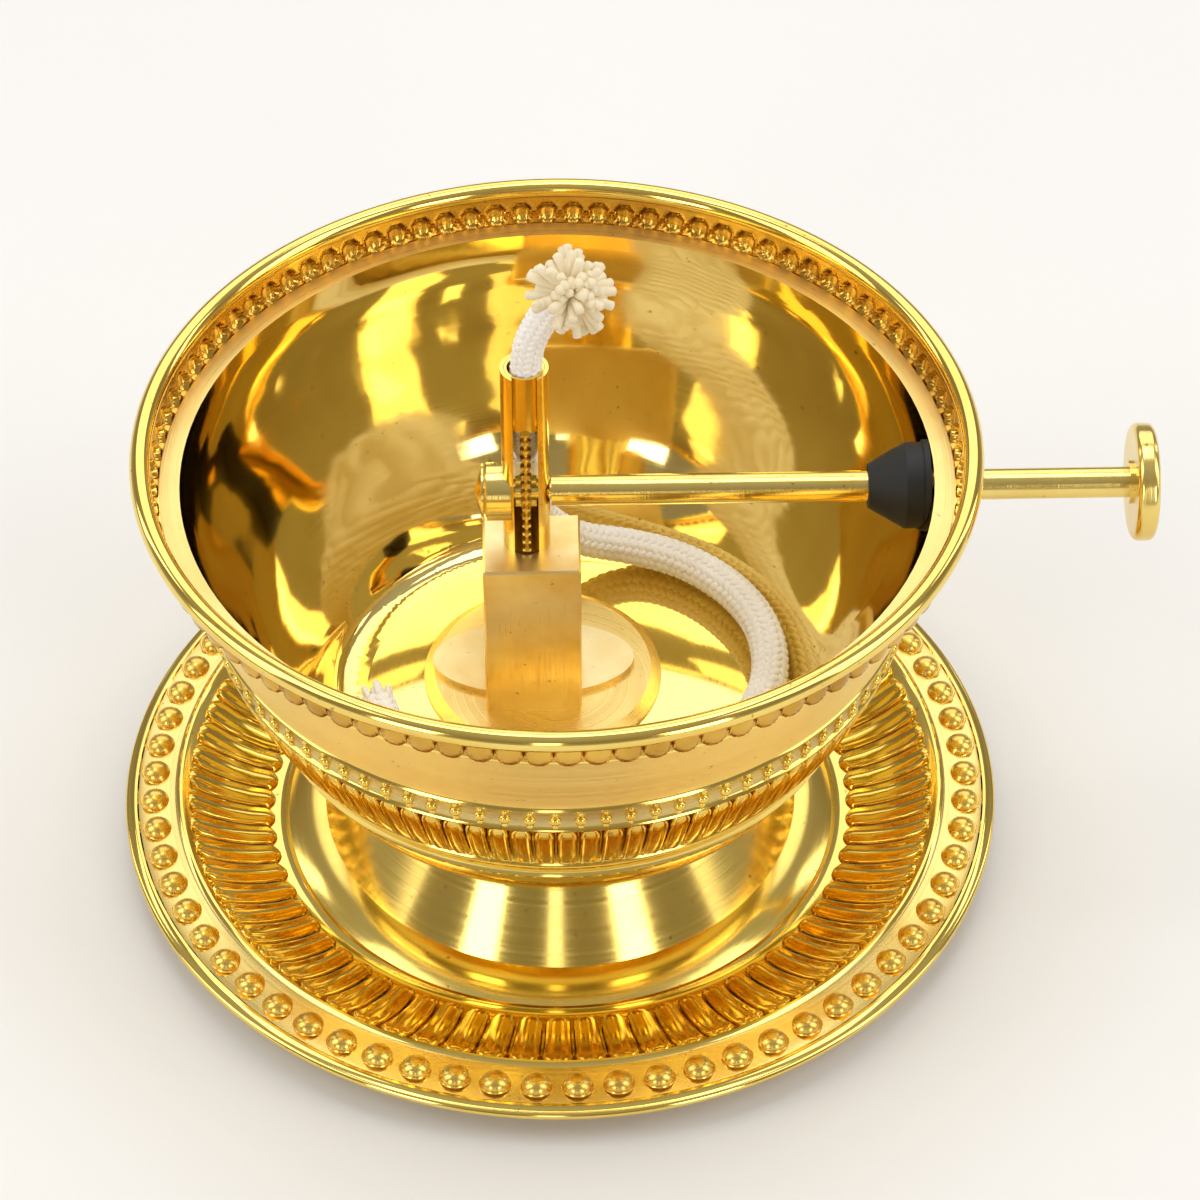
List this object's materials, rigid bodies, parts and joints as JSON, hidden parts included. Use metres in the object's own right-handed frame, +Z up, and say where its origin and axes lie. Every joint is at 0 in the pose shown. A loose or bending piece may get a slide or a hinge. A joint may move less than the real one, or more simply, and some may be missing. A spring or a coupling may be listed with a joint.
{
  "type": "oil lamp",
  "caption": "Double-walled brass oil lamp on a beaded drip plate, with a side knob that lifts the wick through a rack and pinion.",
  "frame": {"origin": "on the lamp's centre line, at the table under the drip plate", "axes": "+Z up; +X towards the side where the knob stands out; -Y is the front, where the wick tube's slot faces"},
  "size_m": [0.2534, 0.22, 0.1795],
  "materials": {
    "plate_brass": "spun sheet brass, polished",
    "bowl_brass": "spun and embossed sheet brass, polished",
    "liner_brass": "spun sheet brass, polished, with a brushed flange",
    "burner_brass": "turned and milled brass, polished",
    "fixing_steel": "zinc plated steel",
    "boot_rubber": "matt moulded black rubber",
    "wick_cotton": "round braided cotton"
  },
  "bodies": {
    "lamp": {"bearing_boss": "burner_brass", "bush_nut": "burner_brass", "bush_saddle": "burner_brass", "centre_stud": "fixing_steel", "drip_plate": "plate_brass", "foot": "plate_brass", "inner_bowl": "liner_brass", "lower_nut": "fixing_steel", "neck_collar": "bowl_brass", "outer_bowl": "bowl_brass", "rim_wire": "fixing_steel", "rubber_boot": "boot_rubber", "stand_base": "burner_brass", "stand_block": "burner_brass", "stand_flange": "burner_brass", "stand_screws": "fixing_steel", "stud_washers": "fixing_steel", "upper_nut": "fixing_steel", "wall_bush": "burner_brass", "wick_core": "wick_cotton", "wick_fray": "wick_cotton", "wick_tail": "wick_cotton", "wick_tube": "burner_brass"},
    "knob_shaft": {"drive_shaft": "burner_brass", "pinion": "burner_brass", "end_cap": "burner_brass", "knob": "burner_brass", "knob_screw": "burner_brass"},
    "lifter": {"wick_sleeve": "burner_brass", "rack": "burner_brass", "wick_head": "wick_cotton", "wick_tuft": "wick_cotton"}
  },
  "joints": [
    {"name": "knob_turn", "type": "hinge", "parent": "lamp", "child": "knob_shaft", "pos_m": [-0.0075, 0.0029, 0.1049], "axis": [-0.9997, -0.0227, 0], "range_deg": [0, 207.6]},
    {"name": "wick_lift", "type": "slide", "parent": "lamp", "child": "lifter", "axis": [0, 0, 1], "range_m": [0, 0.012]}
  ],
  "couplings": [
    {"joint": "wick_lift", "follows": "knob_turn", "m_per_rad": 0.0033104}
  ]
}
